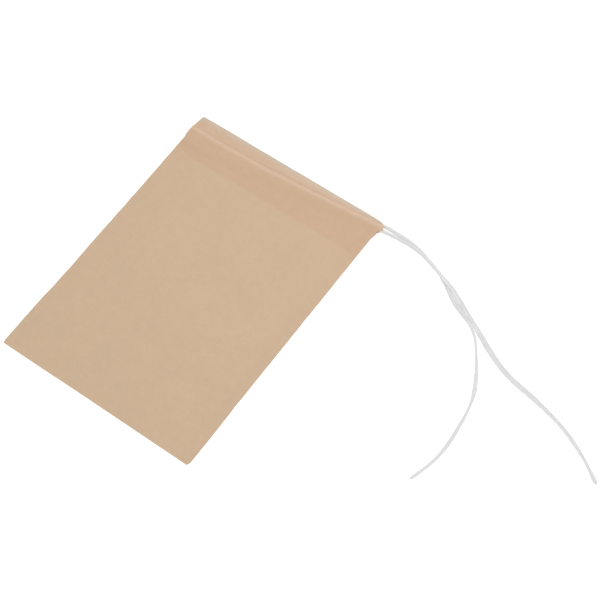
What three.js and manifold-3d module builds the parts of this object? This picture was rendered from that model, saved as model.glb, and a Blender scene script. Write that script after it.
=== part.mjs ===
// Empty drawstring tea bag: one folded sheet of filter paper and one cotton string.
// Millimetres, +Z up. The bag lies on its back panel, mouth towards +Y, width along X.
import * as THREE from 'three';
import { mergeVertices } from 'three/addons/utils/BufferGeometryUtils.js';
import Module from 'manifold-3d';

const wasm = await Module();
wasm.setup();

// ---- driving dimensions -------------------------------------------------
const BAG_W = 50;            // width across the side seals
const BAG_H = 70;            // bottom fold to the back panel's folded top edge
const PAPER = 0.12;          // thickness of the filter paper
const STRING_W = 0.9;        // drawstring, a flat yarn: width
const STRING_T = 0.5;        // and thickness
const HEM_END_Y = 24.9;      // where both hems' cut ends lie, sealed to their panels
const SEAL_W = 2.7;          // width of the side heat seals
const HEM_SEAL_W = 1.8;      // width of the seal along each hem's cut end
const CHANNEL_CLEAR = 0.1;   // room between string and paper inside a hem
const MOUTH_GAP = 0.08;      // room between the two hems at the mouth
const PUFF = 0.45;           // how far the slack front panel stands off the back panel
const FRONT_SPOUT = 1.25;    // how far the front hem's right end is drawn out by the string
const BACK_SPOUT = 0.65;     // the same for the back hem
const FRONT_TUCK = 0.25;     // how far the front hem's left end is drawn in
const FLAP_INSET = 1.15;     // how far the folded-in hems stop short of the left side
const LOOP_BULGE = 0.35;     // how far the string's turn lifts the front hem at the left side
const ORIGIN = [0.625, 0.054]; // middle of the pouch's box, taken as the part's origin

const HALF_W = BAG_W / 2;
const HALF_H = BAG_H / 2;
const CHANNEL_H = STRING_T + PAPER + 2 * CHANNEL_CLEAR; // paper mid to paper mid at the string
const SEAL_H = PAPER + 0.06;                            // the same at a sealed hem end
const FOLD_H = 0.3;                                     // the same just below a folded edge
const NOSE = 0.45;                                      // depth of the rounded folded edge
const BOTTOM_NOSE = 0.25;

// ---- helpers ------------------------------------------------------------
const clamp01 = (v) => Math.min(1, Math.max(0, v));
const smooth = (a, b, v) => { const k = clamp01((v - a) / (b - a)); return k * k * (3 - 2 * k); };
const lerp = (a, b, k) => a + (b - a) * k;

// ---- lines of the folds and of the string inside the hems -----------------
// The back panel's folded top edge bows slightly and drops at the string's exit.
const backFoldY = (x) => HALF_H + 0.08 * clamp01(1 - (x / HALF_W) ** 2) - 0.3 * smooth(22, 27, x);
// The front panel's folded top edge lies lower and runs askew.
const frontFoldY = (x) => HALF_H - (3.925 - 0.485 * Math.log(1 + Math.exp((x + 6) / 6)));
// The string runs slightly slanting through both hems.
const FRONT_EXIT_X = HALF_W + FRONT_SPOUT;
const BACK_EXIT_X = HALF_W + BACK_SPOUT;
const LOOP_X = -23.0;
const BACK_STRING = [31.7, 34.0];   // y at LOOP_X and at the exit
const FRONT_STRING = [28.0, 32.95];
const backStringY = (x) => lerp(BACK_STRING[0], BACK_STRING[1], (x - LOOP_X) / (BACK_EXIT_X - LOOP_X));
const frontStringY = (x) => lerp(FRONT_STRING[0], FRONT_STRING[1], (x - LOOP_X) / (FRONT_EXIT_X - LOOP_X));

// Height of a hem's channel at distance q below its folded edge.
function channelHeight(q, qString, qEnd) {
  const base = lerp(FOLD_H, SEAL_H, smooth(0, qEnd - 1.6, q));
  const atString = lerp(FOLD_H, SEAL_H, smooth(0, qEnd - 1.6, qString));
  const bell = Math.exp(-(((q - qString) / 1.35) ** 2)) * (1 - smooth(qEnd - 2.2, qEnd - 1.4, q));
  return base + (CHANNEL_H - atString) * bell;
}
const BACK_Z = PAPER / 2;
function backFlapZ(x, y) {
  const top = backFoldY(x);
  const q = Math.max(top - y, 0);
  const h = channelHeight(q, top - backStringY(x), top - HEM_END_Y);
  const s = q < NOSE ? Math.sqrt(Math.max(0, 1 - (1 - q / NOSE) ** 2)) : 1;
  return BACK_Z + (h / 2) * (1 + s);
}
const frontFlapZ = (x, y) => backFlapZ(x, y) + PAPER + MOUTH_GAP;
function frontPanelZ(x, y) {
  if (y >= HEM_END_Y) {
    const top = frontFoldY(x);
    const lift = LOOP_BULGE * smooth(-20.5, -23.2, x) * Math.exp(-(((y - 29.7) / 1.3) ** 2));
    return frontFlapZ(x, y) + channelHeight(Math.max(top - y, 0), top - frontStringY(x), top - HEM_END_Y) + lift;
  }
  const atHem = frontFlapZ(x, HEM_END_Y) + SEAL_H;
  const side = smooth(HALF_W - 0.5, HALF_W - 9, Math.abs(x));
  const body = BACK_Z + PAPER + 0.1 + PUFF * side * smooth(-HALF_H - 2, -HALF_H + 16, y);
  return lerp(atHem, body, smooth(HEM_END_Y, HEM_END_Y - 6, y));
}

// ---- the sheet: rows from the front hem's cut end round to the back hem's --
const NOSE_ANGLES = [-90, -50, -17, 17, 50, 90].map((a) => a * Math.PI / 180);
const hemRows = (qString, qEnd) => {
  const start = qString + 0.65;
  return [lerp(NOSE, qString, 0.34), lerp(NOSE, qString, 0.67), qString, start,
    lerp(start, qEnd - HEM_SEAL_W - 0.1, 0.5), qEnd - HEM_SEAL_W - 0.1, qEnd];
};
const HEM_ROWS = 7;
const BODY_Y = [23.8, 22.2, 20, 16, 11, 5, -1, -7, -13, -19, -24.5, -29, -32.4, -34.1];
const rows = [];
// front hem, cut end up to its folded edge
for (let k = HEM_ROWS - 1; k >= 0; k--) {
  rows.push({ face: 'front', part: 'flap', at: (x) => {
    const top = frontFoldY(x);
    const y = top - hemRows(top - frontStringY(x), top - HEM_END_Y)[k];
    return [y, frontFlapZ(x, y)];
  } });
}
// front folded edge
for (const a of NOSE_ANGLES) {
  rows.push({ face: 'front', part: a < 0 ? 'flap' : 'panel', at: (x) => {
    const top = frontFoldY(x);
    const y = top - NOSE * (1 - Math.cos(a));
    const low = frontFlapZ(x, y);
    return [y, low + ((frontPanelZ(x, y) - low) / 2) * (1 + Math.sin(a))];
  } });
}
// front panel down to the bottom fold
for (let k = 0; k < HEM_ROWS; k++) {
  rows.push({ face: 'front', part: 'panel', at: (x) => {
    const top = frontFoldY(x);
    const y = top - hemRows(top - frontStringY(x), top - HEM_END_Y)[k];
    return [y, frontPanelZ(x, y)];
  } });
}
for (const y of BODY_Y) rows.push({ face: 'front', part: 'panel', at: (x) => [y, frontPanelZ(x, y)] });
// bottom fold
for (const a of [90, 45, 0, -45, -90].map((v) => v * Math.PI / 180)) {
  rows.push({ face: 'back', part: 'panel', at: (x) => {
    const y = -HALF_H + PAPER / 2 + BOTTOM_NOSE * (1 - Math.cos(a));
    const h = frontPanelZ(x, y) - BACK_Z;
    return [y, BACK_Z + (h / 2) * (1 + Math.sin(a))];
  } });
}
// back panel, flat, up to its folded edge
for (let k = BODY_Y.length - 1; k >= 0; k -= 2) {
  const y = BODY_Y[k];
  rows.push({ face: 'back', part: 'panel', at: () => [y, BACK_Z] });
}
for (const k of [5, 3, 1]) {
  rows.push({ face: 'back', part: 'panel', at: (x) => {
    const top = backFoldY(x);
    return [top - hemRows(top - backStringY(x), top - HEM_END_Y)[k], BACK_Z];
  } });
}
for (const a of NOSE_ANGLES) {
  rows.push({ face: 'back', part: a < 0 ? 'panel' : 'flap', at: (x) => {
    const top = backFoldY(x);
    const q = NOSE * (1 - Math.cos(a));
    const h = channelHeight(q, top - backStringY(x), top - HEM_END_Y);
    return [top - q, BACK_Z + (h / 2) * (1 + Math.sin(a))];
  } });
}
// back hem down to its cut end
for (let k = 0; k < HEM_ROWS; k++) {
  rows.push({ face: 'back', part: 'flap', at: (x) => {
    const top = backFoldY(x);
    const y = top - hemRows(top - backStringY(x), top - HEM_END_Y)[k];
    return [y, backFlapZ(x, y)];
  } });
}

const COLUMNS = [-25, -24.2, -22.8, -20, -16, -11, -6, -1, 4, 9, 14, 18, 21.5, 23.6, 25];

// Side outline: small rounded corners, the spout at the right, hems short of the left side.
const cornerRound = (y) => 0.5 * Math.pow(clamp01((-HALF_H + 1.1 - y) / 1.1), 2);
function sideX(u, row, y) {
  const corner = cornerRound(y);
  if (u > 20) {
    const spout = row.face === 'front'
      ? FRONT_SPOUT * smooth(31.5, 32.7, y)
      : BACK_SPOUT * smooth(32, 33.2, y) - 0.4 * smooth(34.3, 34.75, y);
    return 20 + (u - 20) * (HALF_W + spout - corner - 20) / (HALF_W - 20);
  }
  if (u < -20) {
    const tuck = row.part === 'flap' ? FLAP_INSET : row.face === 'front' ? FRONT_TUCK * smooth(25.2, 27, y) : 0;
    return -20 + (u + 20) * (-HALF_W + corner + tuck + 20) / (-HALF_W + 20);
  }
  return u;
}

function foldedSheet() {
  const nx = COLUMNS.length - 1;
  const nv = rows.length - 1;
  const flat = new THREE.BoxGeometry(1, 1, 1, nx, nv, 1);
  const pos = flat.attributes.position;
  const place = (i, j) => {
    const u = COLUMNS[i];
    const [y0] = rows[j].at(u);
    const x = sideX(u, rows[j], y0);
    const [y, z] = rows[j].at(x);
    return new THREE.Vector3(x, y, z);
  };
  const mid = [];
  for (let j = 0; j <= nv; j++) { mid.push([]); for (let i = 0; i <= nx; i++) mid[j].push(place(i, j)); }
  const n = new THREE.Vector2();
  for (let k = 0; k < pos.count; k++) {
    const i = Math.round((pos.getX(k) + 0.5) * nx);
    const j = Math.round((pos.getY(k) + 0.5) * nv);
    const side = Math.sign(pos.getZ(k));
    const a = mid[Math.max(j - 1, 0)][i];
    const b = mid[Math.min(j + 1, nv)][i];
    n.set(b.z - a.z, -(b.y - a.y)).normalize();
    const m = mid[j][i];
    pos.setXYZ(k, m.x, m.y - side * n.x * PAPER / 2, m.z - side * n.y * PAPER / 2);
  }
  return flat;
}

// A seal: a thin block between two layers, reaching to the middle of each.
function sealBlock(xs, ys, low, high) {
  const block = new THREE.BoxGeometry(1, 1, 1, xs.length - 1, ys.length - 1, 1);
  const pos = block.attributes.position;
  for (let k = 0; k < pos.count; k++) {
    const y = ys[Math.round((pos.getY(k) + 0.5) * (ys.length - 1))];
    const u = xs[Math.round((pos.getX(k) + 0.5) * (xs.length - 1))];
    const x = Math.abs(u) > HALF_W - 0.5 ? u - Math.sign(u) * cornerRound(y) : u;
    pos.setXYZ(k, x, y, (pos.getZ(k) > 0 ? high : low)(x, y));
  }
  return block;
}
// Middle of the paper round the bottom fold, for the side seals' lower ends.
function bottomFold(x, y, side) {
  const q = y - (-HALF_H + PAPER / 2);
  const s = q < BOTTOM_NOSE ? Math.sqrt(Math.max(0, 1 - (1 - q / BOTTOM_NOSE) ** 2)) : 1;
  return BACK_Z + ((frontPanelZ(x, y) - BACK_Z) / 2) * (1 + side * s);
}

function solid(geometry) {
  const g = geometry.clone();
  g.deleteAttribute('normal');
  g.deleteAttribute('uv');
  const m = mergeVertices(g, 1e-4);
  return new wasm.Manifold(new wasm.Mesh({
    numProp: 3,
    vertProperties: new Float32Array(m.attributes.position.array),
    triVerts: new Uint32Array(m.index.array),
  }));
}
function geometryOf(manifold) {
  const m = manifold.getMesh();
  const g = new THREE.BufferGeometry();
  g.setAttribute('position', new THREE.BufferAttribute(new Float32Array(m.vertProperties), 3));
  g.setIndex(new THREE.BufferAttribute(new Uint32Array(m.triVerts), 1));
  g.computeVertexNormals();
  return g;
}

const sealY = [-34.9, -34.8, -34.69, ...BODY_Y.slice().reverse()];
const sealLow = (x, y) => bottomFold(x, y, -1);
const sealHigh = (x, y) => bottomFold(x, y, 1);
const hemX = COLUMNS.filter((x) => x > -23 && x < 24.5);
let pouchSolid = solid(foldedSheet());
pouchSolid = pouchSolid
  .add(solid(sealBlock([-HALF_W + 0.05, -HALF_W + SEAL_W], sealY, sealLow, sealHigh)))
  .add(solid(sealBlock([HALF_W - SEAL_W, HALF_W - 0.05], sealY, sealLow, sealHigh)))
  .add(solid(sealBlock(hemX, [HEM_END_Y + 0.05, HEM_END_Y + HEM_SEAL_W], () => BACK_Z, backFlapZ)))
  .add(solid(sealBlock(hemX, [HEM_END_Y + 0.05, HEM_END_Y + HEM_SEAL_W], frontFlapZ, frontPanelZ)));

// ---- the drawstring -------------------------------------------------------
const R = STRING_T / 2 + 0.02; // height of the string's middle above the table
// Tail from the front hem: over the other tail in a low hump, then out to the far end.
const FRONT_TAIL = [
  [28.96, 33.18, 1.06], [31.33, 33.31, 0.97], [33.69, 33.31, 0.9], [36.04, 33.07, 0.86], [38.35, 32.55, 0.85],
  [40.62, 31.84, 0.84], [42.85, 31.09, 0.81], [45.07, 30.31, 0.69], [47.29, 29.41, 0.52], [49.48, 28.37, 0.37],
  [51.67, 27.27, 0.29], [53.82, 26.22, R], [55.95, 25.13, R], [58.0, 23.94, R], [60.06, 22.74, R],
  [62.16, 21.65, R], [64.33, 20.66, R], [66.55, 19.81, R], [68.83, 19.15, R], [71.16, 18.65, R],
  [73.5, 18.21, R], [75.83, 17.74, R], [78.15, 17.2, R], [80.44, 16.6, R], [82.71, 15.88, R],
  [84.93, 15.03, R], [87.09, 14.05, R], [89.2, 12.95, R], [91.26, 11.76, R], [93.27, 10.48, R],
  [95.25, 9.16, R],
];
// Tail from the back hem: along the table, under the other tail, then round to its own end.
const BACK_TAIL = [
  [28.25, 34.4, 0.36], [31.0, 34.38, 0.29], [33.4, 34.15, R], [35.77, 33.68, R], [38.08, 32.97, R],
  [40.33, 32.1, R], [42.52, 31.09, R], [44.65, 29.94, R], [46.73, 28.71, R], [48.86, 27.54, R],
  [51.03, 26.49, R], [53.23, 25.49, R], [55.31, 24.27, R], [57.1, 22.65, R], [58.61, 20.77, R],
  [60.0, 18.8, R], [61.31, 16.77, R], [62.51, 14.68, R], [63.58, 12.51, R], [64.43, 10.25, R],
  [65.01, 7.91, R], [65.39, 5.51, R], [65.64, 3.11, R], [65.81, 0.7, R], [65.85, -1.71, R],
  [65.68, -4.12, R], [65.27, -6.5, R], [64.66, -8.84, R], [63.96, -11.15, R],
];

function drawstringRoute() {
  const pts = [];
  const zFront = (x) => frontFlapZ(x, frontStringY(x)) + CHANNEL_H / 2;
  const zBack = () => BACK_Z + CHANNEL_H / 2;
  for (const p of FRONT_TAIL.slice().reverse()) pts.push(new THREE.Vector3(...p));
  for (const x of [FRONT_EXIT_X, 24.6, 21, 14, 6, -2, -10, -17, -21]) pts.push(new THREE.Vector3(x, frontStringY(x), zFront(x)));
  // the turn round the left side, from above the front hem to below the back hem
  const r = (backStringY(LOOP_X) - frontStringY(LOOP_X)) / 2;
  const cy = (backStringY(LOOP_X) + frontStringY(LOOP_X)) / 2;
  for (const d of [0, 22, 45, 67.5, 90, 112.5, 135, 158, 180]) {
    const a = d * Math.PI / 180;
    pts.push(new THREE.Vector3(LOOP_X - r * Math.sin(a), cy - r * Math.cos(a),
      lerp(zFront(LOOP_X), zBack(), smooth(56, 124, d))));
  }
  for (const x of [-21, -17, -10, -2, 6, 14, 21, 24.2, BACK_EXIT_X]) pts.push(new THREE.Vector3(x, backStringY(x), zBack()));
  for (const p of BACK_TAIL) pts.push(new THREE.Vector3(...p));
  return pts;
}

// A smooth curve sampled at its own control points, which are close where it bends.
// Its frames keep the flat yarn level.
class StringCurve extends THREE.CatmullRomCurve3 {
  getPointAt(u, target) { return this.getPoint(u, target); }
  getTangentAt(u, target) { return this.getTangent(u, target); }
  computeFrenetFrames(segments) {
    const tangents = [];
    const normals = [];
    const binormals = [];
    for (let k = 0; k <= segments; k++) {
      const t = this.getTangent(k / segments, new THREE.Vector3());
      const n = new THREE.Vector3(-t.y, t.x, 0).normalize();
      tangents.push(t);
      normals.push(n);
      binormals.push(new THREE.Vector3().crossVectors(t, n));
    }
    return { tangents, normals, binormals };
  }
}
const routePoints = drawstringRoute();
const route = new StringCurve(routePoints, false, 'centripetal');
const section = new THREE.Shape();
for (let k = 0; k < 10; k++) {
  const a = (k * Math.PI) / 5;
  const c = Math.cos(a);
  const d = Math.sin(a);
  const px = (STRING_W / 2) * Math.sign(c) * Math.abs(c) ** 0.85;
  const py = (STRING_T / 2) * Math.sign(d) * Math.abs(d) ** 0.85;
  if (k === 0) section.moveTo(px, py);
  else section.lineTo(px, py);
}
section.closePath();
const stringGeometry = new THREE.ExtrudeGeometry(section, { steps: routePoints.length - 1, extrudePath: route });

// ---- assembly -------------------------------------------------------------
const paper = new THREE.MeshStandardMaterial({ name: 'filter_paper', color: 0xceb498, roughness: 0.9, metalness: 0, side: THREE.DoubleSide });
const cotton = new THREE.MeshStandardMaterial({ name: 'cotton', color: 0xe6e4e1, roughness: 0.95, metalness: 0 });

const pouch = new THREE.Mesh(geometryOf(pouchSolid), paper);
pouch.name = 'pouch';
const drawstring = new THREE.Mesh(stringGeometry, cotton);
drawstring.name = 'drawstring';

const teaBag = new THREE.Group();
teaBag.name = 'drawstring_tea_bag';
teaBag.add(pouch, drawstring);
teaBag.position.set(-ORIGIN[0], -ORIGIN[1], 0);
teaBag.updateMatrixWorld(true);

export default teaBag;
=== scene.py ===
"""Empty drawstring tea bag: a folded sheet of unbleached filter paper and a flat, soft cotton string."""
import math

import bpy
import numpy as np
from mathutils import Matrix


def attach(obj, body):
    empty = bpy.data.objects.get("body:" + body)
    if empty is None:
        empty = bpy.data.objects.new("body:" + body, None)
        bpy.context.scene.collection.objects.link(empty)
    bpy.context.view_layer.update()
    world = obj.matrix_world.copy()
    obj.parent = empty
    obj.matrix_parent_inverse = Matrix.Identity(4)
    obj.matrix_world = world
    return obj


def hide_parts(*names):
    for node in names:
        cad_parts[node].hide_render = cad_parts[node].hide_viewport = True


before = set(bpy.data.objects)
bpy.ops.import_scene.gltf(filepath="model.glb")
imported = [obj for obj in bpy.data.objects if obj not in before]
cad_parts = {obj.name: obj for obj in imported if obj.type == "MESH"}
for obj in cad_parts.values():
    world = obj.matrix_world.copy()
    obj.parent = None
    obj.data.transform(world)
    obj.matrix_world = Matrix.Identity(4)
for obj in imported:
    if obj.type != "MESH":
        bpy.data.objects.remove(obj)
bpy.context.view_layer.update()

# ---------------------------------------------------------------------------
# Dimensions and lines, after the CAD part. Millimetres, bag coordinates:
# width along x, mouth at +y, z up. The part's frame is these less ORIGIN.
# ---------------------------------------------------------------------------
ORIGIN = np.array([0.625, 0.054, 0.0])
PAPER = 0.06  # the sheet that is seen is thinner than the CAD one
YARN_A, YARN_B = 0.47, 0.235  # half the width and half the thickness of the flat yarn
HEM_END_Y = 24.9
SEAL_W = 2.7
MOUTH_GAP = 0.02
PUFF = 0.42
FRONT_SPOUT, BACK_SPOUT = 1.2, 0.62
FRONT_TUCK, FLAP_INSET, LOOP_BULGE = 0.31, 0.72, 0.42
CHANNEL_H = 2 * YARN_B + PAPER + 0.08
SEAL_H = PAPER + 0.015
FOLD_H, NOSE, BOTTOM_NOSE = 0.17, 0.2, 0.1
BACK_Z = PAPER / 2
LOOP_X, LOOP_R = -23.2, 1.85
FRONT_EXIT_X, BACK_EXIT_X = 26.25, 25.65
FLOOR_R = 0.27  # height of the CAD string's middle on the table


def to_frame(p):
    """Bag millimetres to the part's frame in metres."""
    return (np.asarray(p, float) - ORIGIN) / 1000.0


def clamp01(v):
    return np.clip(v, 0.0, 1.0)


def smooth(a, b, v):
    k = clamp01((v - a) / (b - a))
    return k * k * (3 - 2 * k)


def lerp(a, b, k):
    return a + (b - a) * k


class Waves:
    """Smooth seeded noise: a sum of plane waves about one wavelength, near -1 to 1."""

    def __init__(self, wavelength, seed, count=22, spread=0.35, stretch=(1.0, 1.0)):
        rng = np.random.default_rng(seed)
        a = rng.uniform(0, 2 * math.pi, count)
        k = 2 * math.pi / (wavelength * np.exp(rng.normal(0, spread, count)))
        self.kx, self.ky = k * np.cos(a) / stretch[0], k * np.sin(a) / stretch[1]
        self.phase = rng.uniform(0, 2 * math.pi, count)
        self.gain = 1.15 / math.sqrt(count)

    def __call__(self, x, y):
        x, y = np.broadcast_arrays(np.asarray(x, float), np.asarray(y, float))
        out = np.zeros(x.shape)
        for kx, ky, p in zip(self.kx, self.ky, self.phase):
            out += np.cos(kx * x + ky * y + p)
        return out * self.gain


fold_wander = Waves(7.0, 11)
fold_fine = Waves(2.2, 12)
hem_ripple = Waves(3.4, 13, stretch=(1.0, 4.5))
hem_fine = Waves(1.4, 14, stretch=(1.0, 2.5))
slack = Waves(17.0, 15)
slack_mid = Waves(6.5, 16)
crinkle = Waves(2.4, 17)
crinkle_fine = Waves(1.2, 18)
edge_wander = Waves(5.0, 19)


def back_fold_y(x):
    y = 35.18 + 0.08 * clamp01(1 - (x / 25) ** 2) + 0.09 * smooth(-9, -18, x) - 0.3 * smooth(22.8, 26, x)
    return y + 0.02 * fold_wander(x, 40.0) - 0.02


def front_fold_y(x):
    y = 35.45 - (3.849 - 0.4896 * np.log(1 + np.exp((x + 6) / 6)))
    return y + 0.035 * fold_wander(x, 0.0) + 0.01 * fold_fine(x, 0.0)


def back_string_y(x):
    return lerp(32.2, 34.15, (x - LOOP_X) / (BACK_EXIT_X - LOOP_X)) + 0.4 * smooth(22, 25.8, x)


def front_string_y(x):
    return lerp(28.0, 33.13, (x - LOOP_X) / (FRONT_EXIT_X - LOOP_X))


def channel_height(q, q_string, q_end, below=1.5):
    base = lerp(FOLD_H, SEAL_H, smooth(0, q_end - 1.6, q))
    at = lerp(FOLD_H, SEAL_H, smooth(0, q_end - 1.6, q_string))
    bell = np.exp(-(((q - q_string) / np.where(q > q_string, below, 1.5)) ** 2)) * (1 - smooth(q_end - 2.2, q_end - 1.4, q))
    return base + (CHANNEL_H - at) * bell


def hem_lift(x, y):
    """How far the hems' paper is rippled up by the string that gathers it, more at the exit."""
    gather = 0.02 + 0.035 * smooth(12, 24, x) + 0.015 * smooth(-16, -23, x)
    across = smooth(HEM_END_Y + 0.4, HEM_END_Y + 3.2, y)
    wave = 0.5 + 0.5 * np.tanh(1.3 * hem_ripple(x, y) + 0.45 * hem_fine(x, y))
    return gather * across * wave


def back_flap_z(x, y):
    top = back_fold_y(x)
    q = np.maximum(top - y, 0)
    h = channel_height(q, top - back_string_y(x), top - HEM_END_Y, 1.5 - 0.6 * smooth(19, 24.5, x))
    s = np.where(q < NOSE, np.sqrt(np.maximum(0, 1 - (1 - np.minimum(q, NOSE) / NOSE) ** 2)), 1.0)
    loop = 0.2 * smooth(-21.5, -24, x) * np.exp(-(((y - 31.2) / 0.9) ** 2))
    return BACK_Z + (h / 2) * (1 + s) + loop + 0.6 * hem_lift(x, y) * smooth(0.1, 1.2, q)


def front_flap_z(x, y):
    return back_flap_z(x, y) + PAPER + MOUTH_GAP + 0.4 * hem_lift(x, y)


def front_panel_z(x, y):
    top = front_fold_y(x)
    lift = LOOP_BULGE * smooth(-20.5, -23.4, x) * np.exp(-(((y - 29.6) / 1.6) ** 2))
    tight = 1.5 - 0.5 * smooth(19, 24.5, x)
    hem = front_flap_z(x, y) + channel_height(np.maximum(top - y, 0), top - front_string_y(x), top - HEM_END_Y, tight) + lift
    at_hem = front_flap_z(x, np.full_like(y, HEM_END_Y)) + SEAL_H
    # below the hem the slack panel stands off the back one, pressed flat in the side seals
    ax = np.abs(x)
    free = smooth(25 - SEAL_W + 0.5, 25 - SEAL_W - 0.9, ax)
    body = BACK_Z + PAPER + 0.012 + 0.088 * free
    body = body + PUFF * smooth(25 - SEAL_W, 14.5, ax) * smooth(-37, -19, y)
    loose = smooth(25 - SEAL_W, 17, ax) * smooth(-34.6, -28, y) * smooth(HEM_END_Y - 0.5, 18, y)
    body = body + loose * (0.13 * slack(x, y) + 0.045 * slack_mid(x, y))
    body = body + free * smooth(-34.9, -33.5, y) * (0.012 * crinkle(x, y) + 0.006 * crinkle_fine(x, y))
    # soft old creases near the bottom, and where the hem has pulled the panel
    for x0, y0, angle, reach, height in (
        (-3.0, -23.0, 0.35, 7.0, 0.055), (4.0, -26.5, -0.2, 6.0, 0.045), (9.0, -19.0, 0.75, 5.0, 0.04),
        (-12.0, 6.0, -0.55, 6.5, 0.03), (18.5, 17.5, 1.15, 5.0, 0.05), (15.0, 19.5, 0.95, 4.0, 0.04),
    ):
        along = (x - x0) * math.cos(angle) + (y - y0) * math.sin(angle)
        aside = -(x - x0) * math.sin(angle) + (y - y0) * math.cos(angle)
        aside = aside - 0.02 * along ** 2
        body = body + free * height * np.exp(-(aside / 0.55) ** 2) * np.exp(-(along / reach) ** 2)
    body = np.maximum(body, back_panel_z(x, y) + PAPER + 0.012)
    drop = 0.55 * smooth(HEM_END_Y + 0.1, HEM_END_Y - 1.5, y) + 0.45 * smooth(HEM_END_Y, HEM_END_Y - 6.5, y)
    return np.where(y >= HEM_END_Y, hem, lerp(at_hem, body, drop))


def back_panel_z(x, y):
    """The back panel lies on the table, with faint blisters."""
    calm = smooth(25 - SEAL_W, 20, np.abs(x)) * smooth(-34.4, -31, y) * smooth(HEM_END_Y - 1, 20, y)
    return BACK_Z + calm * 0.05 * np.maximum(0, slack_mid(x, -y)) ** 1.5


def corner_round(y):
    return 0.5 * clamp01((-33.9 - y) / 1.1) ** 2


def side_x(u, face, flap, y):
    corner = corner_round(y)
    if face == "front":
        spout = 0.3 * smooth(29.3, 32, y) + (FRONT_SPOUT - 0.3) * smooth(32.15, 33.2, y) - 0.5 * np.maximum(0, y - 33.2)
    else:
        spout = BACK_SPOUT * smooth(32.8, 34, y) - 0.7 * smooth(34.3, 34.9, y)
    # the sides are not quite straight
    right = 25 + spout - 0.85 * corner + 0.13 * smooth(-16, -28, y)
    left = -25 + 0.4 * corner - 0.07 * smooth(15, 18, y) * smooth(27, 25, y) + 0.1 * np.exp(-(((y + 13) / 5) ** 2)) - 0.11 * smooth(-17, -24, y)
    if flap and face == "back":
        # set back where the string goes round its end, and full width above that
        left = left + 0.06 + (FLAP_INSET - 0.06) * smooth(31.3, 30.7, y) + 0.25 * clamp01((y - 34.1) / 1.1) ** 2
    elif flap:
        left = left + FLAP_INSET
    elif face == "front":
        left = left + FRONT_TUCK * np.exp(-(((y - 28.1) / 1.05) ** 2)) + 0.05 * smooth(29.8, 31, y)
    else:
        # the top left corner is softly rounded
        left = left + 0.25 * clamp01((y - 34.1) / 1.1) ** 2
    wander = 0.02 * edge_wander(y, 0.0)
    x = np.where(u > 20, 20 + (u - 20) * (right + wander - 20) / 5.0, u)
    return np.where(u < -20, -20 + (u + 20) * (left - wander + 20) / -5.0, x)


# ---------------------------------------------------------------------------
# Mesh helpers
# ---------------------------------------------------------------------------
def mesh_object(name, verts, faces, material, smooth_angle=None):
    me = bpy.data.meshes.new(name)
    me.from_pydata(to_frame(verts).tolist(), [], faces)
    me.validate()
    me.polygons.foreach_set("use_smooth", np.ones(len(me.polygons), bool))
    if smooth_angle:
        me.set_sharp_from_angle(angle=math.radians(smooth_angle))
    me.materials.append(material)
    me.update()
    ob = bpy.data.objects.new(name, me)
    bpy.context.scene.collection.objects.link(ob)
    return ob


def float_attribute(ob, name, values):
    at = ob.data.attributes.new(name, "FLOAT", "POINT")
    at.data.foreach_set("value", np.asarray(values, np.float32))


# ---------------------------------------------------------------------------
# Camera at the photograph's viewing angle (600 x 600 image)
# ---------------------------------------------------------------------------
def rotation(elevation, roll, yaw):
    e, r, y = (math.radians(v) for v in (elevation, roll, yaw))
    rz = np.array([[math.cos(y), -math.sin(y), 0], [math.sin(y), math.cos(y), 0], [0, 0, 1]])
    rc = np.array([[1, 0, 0], [0, math.sin(e), math.cos(e)], [0, -math.cos(e), math.sin(e)]])
    rr = np.array([[math.cos(r), -math.sin(r), 0], [math.sin(r), math.cos(r), 0], [0, 0, 1]])
    return rr @ rc @ rz


cam_data = bpy.data.cameras.new("camera")
cam_data.sensor_fit = "HORIZONTAL"
cam_data.sensor_width = 36.0
cam_data.lens = 109.2073
cam_data.clip_start, cam_data.clip_end = 0.01, 20.0
camera = bpy.data.objects.new("camera", cam_data)
bpy.context.scene.collection.objects.link(camera)
to_world = rotation(61.355040, 5.891370, -41.317025).T
place = to_frame((144.78176, -131.21355, 342.67717))
camera.matrix_world = Matrix([[*to_world[k], place[k]] for k in range(3)] + [[0, 0, 0, 1]])
bpy.context.scene.camera = camera


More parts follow.
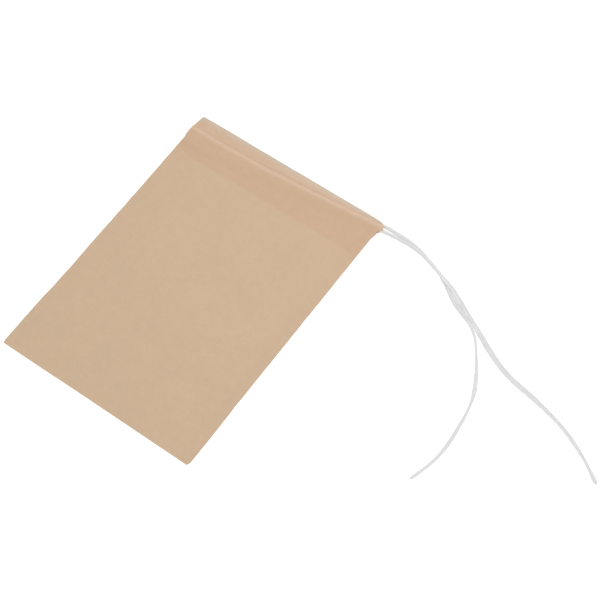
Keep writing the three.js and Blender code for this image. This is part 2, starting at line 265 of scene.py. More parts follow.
# ---------------------------------------------------------------------------
# Materials
# ---------------------------------------------------------------------------
class Nodes:
    """A small writer for node materials."""

    def __init__(self, name):
        self.mat = bpy.data.materials.new(name)
        self.mat.use_nodes = True
        self.tree = self.mat.node_tree
        self.tree.nodes.clear()
        self.out = self.tree.nodes.new("ShaderNodeOutputMaterial")
        self.bsdf = self.tree.nodes.new("ShaderNodeBsdfPrincipled")
        self.tree.links.new(self.bsdf.outputs["BSDF"], self.out.inputs["Surface"])

    def put(self, socket, value):
        if isinstance(value, bpy.types.NodeSocket):
            self.tree.links.new(value, socket)
        else:
            socket.default_value = value

    def math(self, op, a, b=0.0, c=0.0, clamp=False):
        n = self.tree.nodes.new("ShaderNodeMath")
        n.operation, n.use_clamp = op, clamp
        for k, v in enumerate((a, b, c)):
            self.put(n.inputs[k], v)
        return n.outputs[0]

    def total(self, *terms):
        out = terms[0]
        for t in terms[1:]:
            out = self.math("ADD", out, t)
        return out

    def mapped(self, v, a, b, c, d, kind="SMOOTHSTEP"):
        n = self.tree.nodes.new("ShaderNodeMapRange")
        n.interpolation_type = kind
        for k, x in enumerate((v, a, b, c, d)):
            self.put(n.inputs[k], x)
        return n.outputs[0]

    def scaled(self, vector, xyz, turn=(0, 0, 0), shift=(0, 0, 0)):
        n = self.tree.nodes.new("ShaderNodeMapping")
        n.vector_type = "POINT"
        self.put(n.inputs["Vector"], vector)
        n.inputs["Scale"].default_value = xyz
        n.inputs["Rotation"].default_value = turn
        n.inputs["Location"].default_value = shift
        return n.outputs[0]

    def noise(self, vector, scale, detail=2.0, rough=0.5, warp=0.0):
        n = self.tree.nodes.new("ShaderNodeTexNoise")
        n.noise_dimensions = "3D"
        self.put(n.inputs["Vector"], vector)
        n.inputs["Scale"].default_value = scale
        n.inputs["Detail"].default_value = detail
        n.inputs["Roughness"].default_value = rough
        n.inputs["Distortion"].default_value = warp
        return n.outputs[0]

    def mix(self, k, a, b, kind="MIX"):
        n = self.tree.nodes.new("ShaderNodeMix")
        n.data_type, n.blend_type = "RGBA", kind
        self.put(n.inputs[0], k)
        self.put(n.inputs[6], a)
        self.put(n.inputs[7], b)
        return n.outputs[2]

    def attribute(self, name):
        n = self.tree.nodes.new("ShaderNodeAttribute")
        n.attribute_name = name
        return n.outputs["Fac"]

    def millimetres(self):
        n = self.tree.nodes.new("ShaderNodeTexCoord")
        return self.scaled(n.outputs["Object"], (1000, 1000, 1000))


def filter_paper():
    m = Nodes("filter_paper")
    mm = m.millimetres()
    # cloudy formation of the pulp, at three sizes
    cloud = m.math("SUBTRACT", m.noise(mm, 0.09, 3.0, 0.55), 0.5)
    flocs = m.math("SUBTRACT", m.noise(mm, 0.55, 3.0, 0.6, 0.4), 0.5)
    grain = m.math("SUBTRACT", m.noise(mm, 3.2, 2.0, 0.6), 0.5)
    # long thin fibres lying in several directions
    bend = m.tree.nodes.new("ShaderNodeTexNoise")
    m.put(bend.inputs["Vector"], mm)
    bend.inputs["Scale"].default_value = 0.7
    bend.inputs["Detail"].default_value = 1.0
    away = m.tree.nodes.new("ShaderNodeVectorMath")
    away.operation = "MULTIPLY_ADD"
    m.put(away.inputs[0], bend.outputs["Color"])
    away.inputs[1].default_value = (1.1, 1.1, 0.0)
    m.put(away.inputs[2], mm)
    strands = []
    for turn, shift in ((0.25, 0.0), (1.05, 7.3), (1.75, 3.1), (2.6, 11.9), (0.7, 19.2), (2.2, 23.7)):
        v = m.scaled(away.outputs[0], (0.42, 7.0, 0.42), (0, 0, turn), (shift, -shift, 0))
        n = m.math("ABSOLUTE", m.math("SUBTRACT", m.noise(v, 1.0, 1.0, 0.5), 0.5))
        strands.append(m.mapped(n, 0.0, 0.022, 1.0, 0.0))
    pale = m.math("MAXIMUM", m.math("MAXIMUM", strands[0], strands[1]), strands[4])
    dark = m.math("MAXIMUM", m.math("MAXIMUM", strands[2], strands[3]), strands[5])
    # few brown specks
    spots = m.tree.nodes.new("ShaderNodeTexVoronoi")
    m.put(spots.inputs["Vector"], mm)
    spots.inputs["Scale"].default_value = 0.34
    rare = m.tree.nodes.new("ShaderNodeSeparateColor")
    m.put(rare.inputs[0], spots.outputs["Color"])
    speck = m.math("MULTIPLY", m.mapped(spots.outputs["Distance"], 0.025, 0.06, 1.0, 0.0),
                   m.mapped(rare.outputs[0], 0.55, 0.75, 0.0, 1.0))

    layers, strip = m.attribute("layers"), m.attribute("strip")
    fold, rim, seal = m.attribute("fold"), m.attribute("rim"), m.attribute("seal")
    body = (0.642, 0.469, 0.319, 1)
    hem = (0.634, 0.438, 0.296, 1)
    inside = (0.652, 0.464, 0.324, 1)
    # pale tone for the folds: a painted highlight on their crests, partly the white string inside seen through the
    # paper
    light = (0.71, 0.515, 0.378, 1)
    tone = m.mix(layers, body, hem)
    tone = m.mix(strip, tone, inside)
    # painted highlight along the folds
    tone = m.mix(fold, tone, light)
    tone = m.mix(m.attribute("mouth"), tone, (0.625, 0.545, 0.445, 1))
    tone = m.mix(m.math("MULTIPLY", rim, 0.2), tone, (0.675, 0.515, 0.38, 1))
    # warm and cool clouds
    tone = m.mix(m.mapped(cloud, -0.25, 0.25, 0.0, 0.14), tone, (0.668, 0.455, 0.318, 1))
    shade = m.total(
        1.0,
        m.math("MULTIPLY", cloud, 0.07),
        m.math("MULTIPLY", flocs, 0.075),
        m.math("MULTIPLY", grain, 0.05),
        m.math("MULTIPLY", pale, 0.055),
        m.math("MULTIPLY", dark, -0.05),
        m.math("MULTIPLY", speck, -0.16),
        m.math("MULTIPLY", seal, -0.012),
    )
    tone = m.mix(1.0, tone, shade, "MULTIPLY")
    m.put(m.bsdf.inputs["Base Color"], tone)
    m.put(m.bsdf.inputs["Roughness"], m.total(0.84, m.math("MULTIPLY", flocs, 0.12), m.math("MULTIPLY", seal, -0.08)))
    m.bsdf.inputs["Specular IOR Level"].default_value = 0.22
    # tooth of the sheet, and the ribs of the heat seal
    ribs = m.tree.nodes.new("ShaderNodeTexWave")
    ribs.wave_type, ribs.bands_direction = "BANDS", "Y"
    m.put(ribs.inputs["Vector"], mm)
    ribs.inputs["Scale"].default_value = 0.5
    ribs.inputs["Distortion"].default_value = 0.3
    height = m.total(
        m.math("MULTIPLY", grain, 0.9),
        m.math("MULTIPLY", flocs, 0.8),
        m.math("MULTIPLY", pale, 0.55),
        m.math("MULTIPLY", dark, 0.45),
        m.math("MULTIPLY", m.math("MULTIPLY", ribs.outputs["Fac"], seal), 0.5),
    )
    bump = m.tree.nodes.new("ShaderNodeBump")
    bump.inputs["Strength"].default_value = 0.55
    bump.inputs["Distance"].default_value = 0.00003
    m.put(bump.inputs["Height"], height)
    m.put(m.bsdf.inputs["Normal"], bump.outputs["Normal"])
    return m.mat


def cotton():
    m = Nodes("cotton_string")
    uv = m.tree.nodes.new("ShaderNodeUVMap")
    uv.uv_map = "yarn"
    mm = m.millimetres()
    # fibres run along the yarn at a slight slant: u is the way round it, v the length in millimetres / 10
    lines = m.noise(m.scaled(uv.outputs[0], (15.0, 4.0, 1.0)), 1.0, 2.0, 0.55, 0.3)
    fine = m.noise(m.scaled(uv.outputs[0], (42.0, 10.0, 1.0)), 1.0, 2.0, 0.6)
    cloud = m.noise(mm, 0.5, 2.0)
    shade = m.total(
        m.mapped(lines, 0.3, 0.7, 0.955, 1.02, "LINEAR"),
        m.math("MULTIPLY", m.math("SUBTRACT", fine, 0.5), 0.08),
        m.math("MULTIPLY", m.math("SUBTRACT", cloud, 0.5), 0.05),
    )
    # painted shade: the yarn is made a little greyer along the stretches set in the table below, most near the exits
    shade = m.math("MULTIPLY", shade, m.mapped(m.attribute("string_shade"), 0, 1, 1, 0.945, "LINEAR"))
    # painted light: the yarn is made paler where the two tails touch, lifting the shade in the cleft between them
    shade = m.math("MULTIPLY", shade, m.mapped(m.attribute("cleft_fill_light"), 0, 1.5, 1, 1.225, "LINEAR"))
    m.put(m.bsdf.inputs["Base Color"], m.mix(1.0, (0.77, 0.762, 0.762, 1), shade, "MULTIPLY"))
    m.put(m.bsdf.inputs["Roughness"], m.mapped(fine, 0.3, 0.7, 0.85, 0.95, "LINEAR"))
    m.bsdf.inputs["Specular IOR Level"].default_value = 0.15
    m.bsdf.inputs["Sheen Weight"].default_value = 0.1
    m.bsdf.inputs["Sheen Roughness"].default_value = 0.5
    bump = m.tree.nodes.new("ShaderNodeBump")
    bump.inputs["Strength"].default_value = 0.45
    bump.inputs["Distance"].default_value = 0.000015
    m.put(bump.inputs["Height"], m.math("ADD", lines, m.math("MULTIPLY", fine, 0.6)))
    m.put(m.bsdf.inputs["Normal"], bump.outputs["Normal"])
    return m.mat


paper_material = filter_paper()
cotton_material = cotton()

# ---------------------------------------------------------------------------
# The drawstring: one route, cut into the two free tails and the run inside the
# hems. The yarn is flat, and turns slowly about its own line.
# ---------------------------------------------------------------------------
R = FLOOR_R
FRONT_TAIL = [
    [28.90, 33.27, 0.92], [31.31, 33.35, 0.9], [33.68, 33.35, 0.88], [36.04, 33.13, 0.86], [38.35, 32.57, 0.85],
    [40.62, 31.85, 0.79], [42.85, 31.14, 0.715], [45.11, 30.44, 0.65], [47.34, 29.56, 0.455], [49.50, 28.43, 0.405],
    [51.67, 27.28, 0.385], [53.83, 26.23, 0.31], [55.94, 25.11, R], [57.99, 23.91, R], [60.05, 22.72, R],
    [62.15, 21.64, R], [64.32, 20.62, R], [66.54, 19.73, R], [68.82, 19.05, R], [71.15, 18.57, R], [73.50, 18.16, R],
    [75.83, 17.69, R], [78.14, 17.15, R], [80.43, 16.55, R], [82.70, 15.85, R], [84.92, 15.00, R], [87.08, 14.02, R],
    [89.19, 12.94, R], [91.26, 11.75, R], [93.26, 10.47, R], [95.24, 9.14, R],
]
BACK_TAIL = [
    [28.29, 34.58, 0.34], [30.89, 34.49, 0.29], [33.38, 34.28, R], [35.79, 33.82, R], [38.09, 33.06, R],
    [40.38, 32.30, R], [42.63, 31.38, R], [44.75, 30.17, R], [46.77, 28.80, R], [48.86, 27.52, R], [51.02, 26.46, R],
    [53.24, 25.53, R], [55.33, 24.30, R], [57.15, 22.70, R], [58.67, 20.82, R], [60.10, 18.87, R], [61.45, 16.85, R],
    [62.67, 14.77, R], [63.78, 12.60, R], [64.67, 10.31, R], [65.24, 7.94, R], [65.59, 5.52, R], [65.82, 3.11, R],
    [66.00, 0.69, R], [66.06, -1.74, R], [65.89, -4.17, R], [65.46, -6.56, R], [64.80, -8.89, R], [64.08, -11.20, R],
]


def front_string_z(x):
    y = front_string_y(x)
    return float(front_flap_z(np.array(x), np.array(y)) + CHANNEL_H / 2)


def string_route():
    back_z = BACK_Z + CHANNEL_H / 2
    pts = [list(p) for p in reversed(FRONT_TAIL)]
    marks = [len(pts)]
    for x in (FRONT_EXIT_X, 24.8, 23.2, 21.2, 18, 14, 6, -2, -10, -17, -21):
        pts.append([x, float(front_string_y(x)), front_string_z(x)])
    # round the left end: a quarter turn, a short straight, a quarter turn
    low = float(front_string_y(LOOP_X)) + LOOP_R
    high = float(back_string_y(LOOP_X)) - LOOP_R
    total = math.pi * LOOP_R + high - low
    marks.append(len(pts))
    for d in (0, 22.5, 45, 67.5, 90, 90.001, 112.5, 135, 157.5, 180):
        a = math.radians(d)
        mid = low if d <= 90 else high
        share = (a * LOOP_R + (0 if d <= 90 else high - low)) / total
        z = lerp(front_string_z(LOOP_X), back_z, float(smooth(0.22, 0.64, share)))
        pts.append([LOOP_X - LOOP_R * math.sin(a), mid - LOOP_R * math.cos(a), z])
    marks.append(len(pts) - 1)
    for x in (-21, -17, -10, -2, 6, 14, 20, 22.2, 24, BACK_EXIT_X):
        pts.append([x, float(back_string_y(x)), back_z])
    marks.append(len(pts) - 1)
    pts += [list(p) for p in BACK_TAIL]
    return np.array(pts), marks


def catmull(points, per=28):
    """Centripetal Catmull-Rom through the points; also each point's place in the result."""
    p = np.vstack([2 * points[0] - points[1], points, 2 * points[-1] - points[-2]])
    out, places = [points[0]], [0]
    for k in range(1, len(p) - 2):
        d0, d1, d2 = (np.linalg.norm(p[k + j] - p[k + j - 1]) ** 0.5 for j in (0, 1, 2))
        x0, x1, x2, x3 = p[k - 1], p[k], p[k + 1], p[k + 2]
        t1 = ((x1 - x0) / d0 - (x2 - x0) / (d0 + d1) + (x2 - x1) / d1) * d1
        t2 = ((x2 - x1) / d1 - (x3 - x1) / (d1 + d2) + (x3 - x2) / d2) * d1
        t = (np.arange(1, per + 1) / per)[:, None]
        c2, c3 = -3 * x1 + 3 * x2 - 2 * t1 - t2, 2 * x1 - 2 * x2 + t1 + t2
        out.extend(x1 + t1 * t + c2 * t ** 2 + c3 * t ** 3)
        places.append(len(out) - 1)
    return np.array(out), places


route_points, marks = string_route()
dense, places = catmull(route_points)
run = np.r_[0, np.cumsum(np.linalg.norm(np.diff(dense, axis=0), axis=1))]
S_FRONT, S_LOOP, S_LOOP_END, S_BACK = (run[places[k]] for k in marks)
count = int(round(run[-1] / 0.16)) + 1
s_at = np.linspace(0, run[-1], count)
STEP = s_at[1]  # millimetres between the rings
line = np.stack([np.interp(s_at, run, dense[:, k]) for k in range(3)], 1)


def soften(values, width):
    """Gaussian running mean over width millimetres, keeping the ends."""
    n = max(1, int(round(3 * width / STEP)))
    kernel = np.exp(-0.5 * (np.arange(-n, n + 1) * STEP / width) ** 2)
    kernel /= kernel.sum()
    padded = np.r_[2 * values[0] - values[n:0:-1], values, 2 * values[-1] - values[-2:-n - 2:-1]]
    return np.convolve(padded, kernel, "valid")


# how the flat yarn is turned, in degrees, along the whole string: level in the hems, half a turn round the loop
FRONT_TURN = [(0, -8), (3, -28), (9, -29), (14, -27), (19, -21), (27, -20), (29.5, -10), (32, 8), (36, 23), (48, 44), (60, 68), (68, 84), (73.7, 125)]
BACK_TURN = [(0, -8), (3, -28), (12, -27), (16, -10), (18.5, 6), (22, 15), (26, 17), (28.5, 24), (32, 56), (37, 93), (45, 164), (49, 250), (54, 295), (57.5, 334),
             (63, 393), (67, 394), (70.5, 388)]
knots = [(S_FRONT - s, 180 - a) for s, a in reversed(FRONT_TURN)]
knots += [(S_FRONT + 1.2, 180)]
for share in np.linspace(0, 1, 13):
    knots.append((lerp(S_LOOP, S_LOOP_END, share), 180 + 180 * float(smooth(0.08, 0.66, share))))
knots += [(S_BACK - 1.2, 360)]
knots += [(S_BACK + s, 360 + a) for s, a in BACK_TURN]
rng = np.random.default_rng(5)
outside = np.maximum(smooth(0, 4, S_FRONT - s_at), smooth(0, 4, s_at - S_BACK))
jitter = soften(rng.normal(0, 1, count), 2.2)
jitter = jitter / jitter.std() * outside
turn = soften(np.interp(s_at, [k[0] for k in knots], [k[1] for k in knots]), 1.1)
turn = np.radians(turn + 3.5 * jitter)

plump = soften(rng.normal(0, 1, count), 2.6)
plump = plump / np.abs(plump).max() * outside
out_front, out_back = S_FRONT - s_at, s_at - S_BACK


def near(values, middle, width):
    return np.exp(-(((values - middle) / width) ** 2))


swell = 1.05 + 0.03 * plump
swell = swell + 0.12 * near(out_front, 6.5, 3) - 0.1 * near(out_front, 1.5, 2) - 0.16 * near(out_front, 15.5, 3)
swell = swell + 0.1 * near(out_front, 25, 2.8) - 0.17 * near(out_front, 29.8, 2) + 0.3 * near(out_front, 37, 4.5)
swell = swell + 0.16 * smooth(38, 44, out_front) + 0.08 * near(out_front, 48, 4) + 0.1 * smooth(54, 62, out_front)
swell = swell - 0.16 * near(out_front, 58, 3.5) - 0.08 * near(out_front, 65.5, 1.8) + 0.12 * smooth(66, 69, out_front)
swell = swell + 0.12 * near(out_back, 6.5, 3) - 0.1 * near(out_back, 1.5, 2) - 0.16 * near(out_back, 15.5, 3)
swell = swell + 0.1 * near(out_back, 25.5, 2.8) - 0.18 * near(out_back, 30.4, 2) + 0.15 * near(out_back, 36, 1.5)
swell = swell - 0.05 * smooth(33, 37, out_back) + 0.2 * near(out_back, 50, 3) + 0.12 * near(out_back, 49.6, 1.2)
swell = swell - 0.1 * near(out_back, 58.5, 2.8) - 0.09 * smooth(61, 63, out_back)
# pressed narrower in the hems, except round the loop
hemmed = smooth(1.4, -0.4, out_front) * smooth(1.4, -0.4, out_back)
looped = smooth(S_LOOP - 3, S_LOOP, s_at) * smooth(S_LOOP_END + 3, S_LOOP_END, s_at)
swell = swell * (1 - 0.2 * hemmed * (1 - 0.25 * looped))

# painted shade along each tail, by distance out of its hem (0 none, 1 the most)
out_of_hem = np.maximum(out_front, out_back)
string_shade = np.interp(
    out_of_hem, [-1, 0, 2, 4, 8, 12, 16, 18.5, 21, 24, 27, 29, 30.5, 32], [0, 0.2, 0.8, 1, 0.95, 0.65, 0.4, 0.05, 0.75, 0.8, 1, 0.9, 0.35, 0])

# height: the yarn lies on the table; in the hems the route is kept, and one tail lies over the other
rest = swell * np.sqrt((YARN_A * np.sin(turn)) ** 2 + (YARN_B * np.cos(turn)) ** 2)
free = np.where(out_front > 0, smooth(0, 6, out_front), np.where(out_back > 0, smooth(0, 5, out_back), 0.0))
hump = soften(np.clip(line[:, 2] - FLOOR_R, 0, 0.58), 1.3)
hump = np.where(out_back > 0, 0.0, 1.2 * hump)
line[:, 2] = lerp(line[:, 2], soften(rest, 0.4) + 0.004 + hump, free)

# the way to the other tail, where the two lie side by side, and how much painted light the cleft between them gets
beside, fill_light_weight = np.zeros_like(line), np.zeros(len(line))
for own, other in ((out_front, out_back), (out_back, out_front)):
    rows_own = np.flatnonzero((own > 13) & (own < 36))
    rows_other = np.flatnonzero((other > 10) & (other < 39))
    way_over = line[rows_other][None, :, :2] - line[rows_own][:, None, :2]
    nearest = np.argmin((way_over ** 2).sum(-1), axis=1)
    way_over = way_over[np.arange(len(rows_own)), nearest]
    beside[rows_own, :2] = way_over / (np.linalg.norm(way_over, axis=1)[:, None] + 1e-9)
    # painted light: how much the cleft between the tails is made paler, along each tail
    fill_light_weight[rows_own] = (smooth(13, 16, own[rows_own]) + 0.5 * np.exp(-((own[rows_own] - 18.3) / 1.2) ** 2)) * smooth(34.5, 31.5, own[rows_own])

tangent = np.gradient(line, axis=0)
tangent /= np.linalg.norm(tangent, axis=1)[:, None]
side = np.cross([0, 0, 1.0], tangent)
side /= np.linalg.norm(side, axis=1)[:, None]
upward = np.cross(tangent, side)
wide = np.cos(turn)[:, None] * side + np.sin(turn)[:, None] * upward
thin = -np.sin(turn)[:, None] * side + np.cos(turn)[:, None] * upward

SIDES = 40
around = np.arange(SIDES) / SIDES * 2 * math.pi
sec_a = np.sign(np.cos(around)) * np.abs(np.cos(around)) ** 0.78
sec_b = np.sign(np.sin(around)) * np.abs(np.sin(around)) ** 0.78
sec_b = sec_b * (1 - 0.2 * np.exp(-(sec_a / 0.3) ** 2))  # a shallow groove along the middle
slant = s_at * (2 * math.pi / 15.0)  # the fibres' slight slant round the yarn
ridge = np.ones((count, SIDES))
for n, amount, seed in ((5, 0.028, 61), (8, 0.03, 62), (12, 0.028, 63), (17, 0.02, 64)):
    drift = soften(np.random.default_rng(seed).normal(0, 1, count), 1.5)
    drift = drift / drift.std() * 0.9
    ridge += amount * np.cos(n * (around[None] - slant[:, None]) + drift[:, None])


def hair(points, radius):
    """A thin three-sided fibre along a few points."""
    tan = np.gradient(points, axis=0)
    tan /= np.linalg.norm(tan, axis=1)[:, None] + 1e-9
    ref = np.array([0.3, -0.5, 0.81])
    e1 = np.cross(tan, ref)
    e1 /= np.linalg.norm(e1, axis=1)[:, None] + 1e-9
    e2 = np.cross(tan, e1)
    n = len(points)
    width = radius * np.linspace(1, 0.45, n)
    verts, faces = [], []
    for i in range(n):
        for j in range(3):
            a = 2 * math.pi * j / 3
            verts.append(points[i] + width[i] * (math.cos(a) * e1[i] + math.sin(a) * e2[i]))
    for i in range(n - 1):
        for j in range(3):
            k = (j + 1) % 3
            faces.append((i * 3 + j, i * 3 + k, (i + 1) * 3 + k, (i + 1) * 3 + j))
    faces.append((2, 1, 0))
    faces.append(((n - 1) * 3, (n - 1) * 3 + 1, (n - 1) * 3 + 2))
    return np.array(verts), faces


def yarn(name, first, last, start_open, end_open, seed, fuzz):
    """A stretch of the flat yarn between two rings, with its loose fibres; an open end is a frayed cut."""
    rng = np.random.default_rng(seed)
    idx = np.arange(first, last + 1)
    rows = len(idx)
    taper = np.ones(rows)
    for k, f in enumerate((0.5, 0.74, 0.88, 0.96)):
        if start_open:
            taper[k] = f
        if end_open:
            taper[-1 - k] = f
    size = (swell[idx] * taper)[:, None] * ridge[idx]
    ring = line[idx][:, None] + size[..., None] * (
        YARN_A * sec_a[None, :, None] * wide[idx][:, None] + YARN_B * sec_b[None, :, None] * thin[idx][:, None])
    ring[..., 2] = np.maximum(ring[..., 2], 0.004)
    verts = [ring.reshape(-1, 3)]
    faces, maps = [], []
    # painted shade per vertex, from the table along the string
    tight = list(np.repeat(string_shade[idx], SIDES)) + [string_shade[idx[0]], string_shade[idx[-1]]]
    facing = np.einsum("ijk,ik->ij", ring - line[idx][:, None], beside[idx]) / YARN_A
    # painted light on the side facing the other tail
    cleft_fill_light = list((smooth(0.3, 0.85, facing) * fill_light_weight[idx][:, None]).ravel()) + [0.0, 0.0]
    turned = slant[idx] / (2 * math.pi)
    for i in range(rows - 1):
        v0, v1 = s_at[idx[i]] / 10, s_at[idx[i + 1]] / 10
        for j in range(SIDES):
            k = (j + 1) % SIDES
            faces.append((i * SIDES + j, i * SIDES + k, (i + 1) * SIDES + k, (i + 1) * SIDES + j))
            maps += [(j / SIDES - turned[i], v0), ((j + 1) / SIDES - turned[i], v0),
                     ((j + 1) / SIDES - turned[i + 1], v1), (j / SIDES - turned[i + 1], v1)]
    base = rows * SIDES
    for row, sign in ((0, -1), (rows - 1, 1)):
        opened = start_open if row == 0 else end_open
        verts.append((line[idx[row]] + sign * tangent[idx[row]] * (0.06 if opened else 0.0))[None])
        for j in range(SIDES):
            k = (j + 1) % SIDES
            p, q = row * SIDES + j, row * SIDES + k
            faces.append((q, p, base) if row == 0 else (p, q, base))
            maps += [(j / SIDES, s_at[idx[row]] / 10 + 0.02 * sign)] * 3
        base += 1
    # loose fibres: short fuzz all along, and a tuft at each cut end
    jobs = [(int(rng.integers(2, rows - 2)), 0) for _ in range(int((rows - 1) * STEP * fuzz))]
    jobs += [(rows - 1 - int(rng.integers(0, 3)), 1) for _ in range(60 if end_open else 0)]
    jobs += [(int(rng.integers(0, 3)), -1) for _ in range(60 if start_open else 0)]
    for k, end in jobs:
        j = int(rng.integers(0, SIDES))
        root = ring[k, j]
        out = root - line[idx[k]]
        out = out / (np.linalg.norm(out) + 1e-9)
        along = tangent[idx[k]]
        if end == 0:
            if out[2] < -0.5:
                continue
            long = min(0.9, 0.2 * math.exp(rng.normal(0, 0.6)))
            way = out * rng.uniform(0.25, 1.0) + rng.choice([-1, 1]) * along * rng.uniform(0.5, 1.8) + rng.normal(0, 0.25, 3)
            thick = rng.uniform(0.007, 0.013)
        else:
            long = rng.uniform(0.12, 0.45)
            root = line[idx[k]] + (root - line[idx[k]]) * rng.uniform(0.1, 0.95)
            way = end * along * 1.2 + out * rng.uniform(-0.1, 0.45) + rng.normal(0, 0.18, 3)
            thick = rng.uniform(0.012, 0.026)
        way /= np.linalg.norm(way)
        curl = np.cross(way, rng.normal(0, 1, 3))
        curl /= np.linalg.norm(curl)
        t = np.linspace(0, 1, 5)[:, None]
        pts = root - 0.02 * way + way * long * t + curl * long * rng.uniform(0.05, 0.4) * t ** 2
        pts[:, 2] = np.maximum(pts[:, 2], thick + 0.003)
        v, f = hair(pts, thick)
        verts.append(v)
        tight += [string_shade[idx[k]]] * len(v)
        cleft_fill_light += [0.0] * len(v)
        faces += [tuple(i + base for i in q) for q in f]
        for q in f:
            maps += [(j / SIDES, s_at[idx[k]] / 10)] * len(q)
        base += len(v)
    ob = mesh_object(name, np.vstack(verts), faces, cotton_material)
    float_attribute(ob, "string_shade", tight)
    float_attribute(ob, "cleft_fill_light", cleft_fill_light)
    layer = ob.data.uv_layers.new(name="yarn")
    layer.data.foreach_set("uv", np.array(maps, np.float32).ravel())
    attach(ob, "root")
    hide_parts("drawstring")
    return ob


INSIDE = 3.0  # millimetres of each tail that are still inside its hem
cut_front = int(round((S_FRONT + INSIDE) / STEP))
cut_back = int(round((S_BACK - INSIDE) / STEP))
front_tail = yarn("string_tail_front", 0, cut_front, True, False, 101, 9.0)
back_tail = yarn("string_tail_back", cut_back, count - 1, False, True, 102, 9.0)
hem_run = yarn("string_in_hems", cut_front + 1, cut_back - 1, False, False, 103, 0.0)


# ---------------------------------------------------------------------------
# The pouch: one sheet, from the front hem's cut end over the front fold, down
# the front panel, round the bottom fold, up the back panel and over to the
# back hem's cut end
# ---------------------------------------------------------------------------
def columns():
    side = np.array([25, 24.86, 24.68, 24.47, 24.24, 23.98, 23.7, 23.4, 23.08, 22.74, 22.4, 22.06, 21.72, 21.36, 21.0, 20.5])
    middle = np.linspace(-20, 20, 97)
    return np.r_[-side, middle, side[::-1]]


def hem_steps(n):
    """Shares of the way down a hem, closer near the fold."""
    t = np.linspace(0, 1, n)
    return 0.45 * t + 0.55 * t ** 2


def build_rows():
    rows = []
    nose = np.radians(np.linspace(-90, 90, 13))

    def hem_row(face, flap, share):
        fold = front_fold_y if face == "front" else back_fold_y
        if face == "front":
            height = front_flap_z if flap else front_panel_z
        else:
            height = back_flap_z if flap else back_panel_z

        def at(x):
            top = fold(x)
            y = lerp(top - NOSE, np.full_like(x, HEM_END_Y), share)
            return y, height(x, y)

        rows.append((face, flap, at))

    def nose_row(face, flap, a):
        def at(x):
            if face == "front":
                y = front_fold_y(x) - NOSE * (1 - math.cos(a))
                low, high = front_flap_z(x, y), front_panel_z(x, y)
            else:
                q = NOSE * (1 - math.cos(a))
                top = back_fold_y(x)
                y = top - q
                low = np.full_like(x, BACK_Z)
                high = low + channel_height(q, top - back_string_y(x), top - HEM_END_Y)
            return y, low + (high - low) / 2 * (1 + math.sin(a))

        rows.append((face, flap, at))

    def body_row(face, y):
        height = front_panel_z if face == "front" else back_panel_z
        rows.append((face, False, lambda x: (np.full_like(x, y), height(x, np.full_like(x, y)))))

    for share in hem_steps(24)[::-1]:
        hem_row("front", True, share)
    for a in nose[1:-1]:
        nose_row("front", a < 0, a)
    for share in hem_steps(30)[:-1]:
        hem_row("front", False, share)
    upper = np.r_[HEM_END_Y, np.arange(24.6, 22.0, -0.3), np.linspace(21.9, -33.6, 132), -33.95, -34.25, -34.5]
    for y in upper:
        body_row("front", float(y))
    for a in np.radians(np.linspace(90, -90, 9)):
        def at(x, a=a):
            y = -35 + PAPER / 2 + BOTTOM_NOSE * (1 - math.cos(a)) - 0.08 * smooth(-4, -16, x)
            high = front_panel_z(x, y)
            return y, BACK_Z + (high - BACK_Z) / 2 * (1 + math.sin(a))
        rows.append(("bottom", False, at))
    lower = np.r_[-34.4, -34.0, np.linspace(-33.4, 24.4, 96)]
    for y in lower:
        body_row("back", float(y))
    for share in hem_steps(16)[::-1]:
        hem_row("back", False, share)
    for a in nose[1:-1]:
        nose_row("back", a > 0, a)
    for share in hem_steps(24):
        hem_row("back", True, share)
    return rows


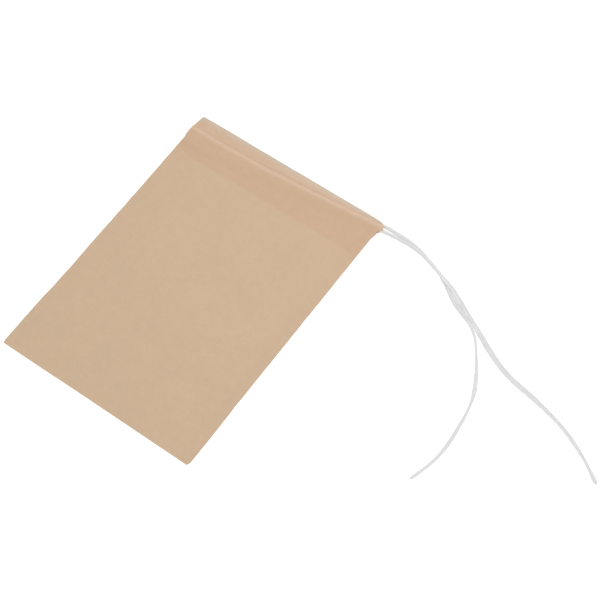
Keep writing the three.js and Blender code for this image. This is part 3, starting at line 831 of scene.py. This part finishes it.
def build_pouch():
    u = columns()
    rows = build_rows()
    mid = np.zeros((len(rows), len(u), 3))
    for j, (face, flap, at) in enumerate(rows):
        y0, _ = at(u)
        x = side_x(u, face, flap, y0)
        y, z = at(x)
        mid[j] = np.stack([x, y, z], 1)
    normal = np.cross(np.gradient(mid, axis=0), np.gradient(mid, axis=1))
    normal /= np.linalg.norm(normal, axis=2)[..., None]
    outer = mid + normal * PAPER / 2
    inner = mid - normal * PAPER / 2
    nr, nc = mid.shape[:2]
    verts = np.vstack([outer.reshape(-1, 3), inner.reshape(-1, 3)])
    verts[:, 2] = np.maximum(verts[:, 2], 0.0)
    grid = np.arange(nr * nc).reshape(nr, nc)
    inn = grid + nr * nc
    a, b, c, d = grid[:-1, :-1], grid[1:, :-1], grid[1:, 1:], grid[:-1, 1:]
    faces = [*np.stack([a, b, c, d], -1).reshape(-1, 4).tolist()]
    a, b, c, d = inn[:-1, :-1], inn[:-1, 1:], inn[1:, 1:], inn[1:, :-1]
    faces += np.stack([a, b, c, d], -1).reshape(-1, 4).tolist()
    faces += np.stack([grid[:-1, 0], inn[:-1, 0], inn[1:, 0], grid[1:, 0]], -1).tolist()
    faces += np.stack([grid[:-1, -1], grid[1:, -1], inn[1:, -1], inn[:-1, -1]], -1).tolist()
    faces += np.stack([grid[0, :-1], grid[0, 1:], inn[0, 1:], inn[0, :-1]], -1).tolist()
    faces += np.stack([grid[-1, :-1], inn[-1, :-1], inn[-1, 1:], grid[-1, 1:]], -1).tolist()
    ob = mesh_object("filter_paper_pouch", verts, faces, paper_material, 50)

    # masks that the material reads: hem layers, the hems' inner faces, painted highlights along the folds, a greyer,
    # paler band along the back fold's edge, cut edges, side seals
    x, y = mid[..., 0], mid[..., 1]
    front = np.array([r[0] == "front" for r in rows])[:, None]
    flap = np.array([r[1] for r in rows])[:, None]
    q = np.maximum(np.where(front, front_fold_y(x), back_fold_y(x)) - y, 0)
    hem = smooth(HEM_END_Y - 0.25, HEM_END_Y + 0.25, y)
    over = y - front_fold_y(x)
    # painted highlight along the front fold's crest, partly the white string inside showing through the paper
    fold = np.where(front, np.exp(-((q - 0.36) / 0.56) ** 2), 0.0)
    # on the back flap: paler towards the right, and a painted highlight just above the front fold's crest
    paler = 0.36 * smooth(-11, 6, x)
    fold = np.where(flap & ~front, np.maximum(paler, 0.7 * np.exp(-((over + 0.05) / 0.35) ** 2)), fold)
    mouth = np.where(front, 0.0, 0.9 * np.exp(-((q / 1.05) ** 2)))
    # a fainter painted highlight along the bottom fold
    crease = np.exp(-((y + 35) / 0.35) ** 2)
    edge = np.minimum(np.abs(x - x[:, :1]), np.abs(x[:, -1:] - x))
    rim = np.exp(-((edge / 0.3) ** 2))
    seal = smooth(SEAL_W + 0.25, SEAL_W - 0.15, edge) * smooth(HEM_END_Y + 0.2, HEM_END_Y - 0.6, y)
    for name, values in (
        ("layers", hem * ~flap), ("strip", np.broadcast_to(flap, x.shape) * 1.0),
        ("fold", np.maximum(fold, 0.2 * crease)), ("rim", rim), ("seal", seal * ~flap), ("mouth", mouth),
    ):
        float_attribute(ob, name, np.tile(np.asarray(values, float).ravel(), 2))
    # the sheet's flat length, along its middle column
    run = np.linalg.norm(np.diff(mid[:, nc // 2], axis=0), axis=1).sum()
    return ob, run


pouch, sheet_length = build_pouch()
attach(pouch, "root")
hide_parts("pouch")

# ---------------------------------------------------------------------------
# Floor, light and view
# ---------------------------------------------------------------------------
floor_mesh = bpy.data.meshes.new("floor")
floor_mesh.from_pydata([(-4, -4, -0.00002), (4, -4, -0.00002), (4, 4, -0.00002), (-4, 4, -0.00002)], [], [(0, 1, 2, 3)])
floor = bpy.data.objects.new("floor", floor_mesh)
bpy.context.scene.collection.objects.link(floor)
floor_nodes = Nodes("pale_floor")
floor_nodes.bsdf.inputs["Base Color"].default_value = (0.9, 0.9, 0.9, 1)
floor_nodes.bsdf.inputs["Emission Color"].default_value = (1, 1, 1, 1)
floor_nodes.bsdf.inputs["Emission Strength"].default_value = 0.4
floor_nodes.bsdf.inputs["Roughness"].default_value = 0.95
floor_nodes.bsdf.inputs["Specular IOR Level"].default_value = 0.0
floor_mesh.materials.append(floor_nodes.mat)

world = bpy.data.worlds.new("studio")
bpy.context.scene.world = world
world.use_nodes = True
background = world.node_tree.nodes["Background"]
background.inputs["Color"].default_value = (1, 1, 1, 1)
background.inputs["Strength"].default_value = 0.8


def area_light(name, at, target, size, power):
    data = bpy.data.lights.new(name, "AREA")
    data.shape, data.size, data.energy = "DISK", size, power
    ob = bpy.data.objects.new(name, data)
    bpy.context.scene.collection.objects.link(ob)
    z = np.array(at, float) - np.array(target, float)
    z /= np.linalg.norm(z)
    x = np.cross([0, 0, 1.0], z)
    x /= np.linalg.norm(x)
    y = np.cross(z, x)
    ob.matrix_world = Matrix([[x[k], y[k], z[k], at[k]] for k in range(3)] + [[0, 0, 0, 1]])
    ob.visible_camera = False
    return ob


area_light("softbox", (0.045, 0.06, 0.22), (0.02, 0.02, 0.0), 0.16, 0.125)

view = bpy.context.scene.view_settings
view.view_transform = "Standard"
view.look = "None"
view.exposure, view.gamma = 0.0, 1.0
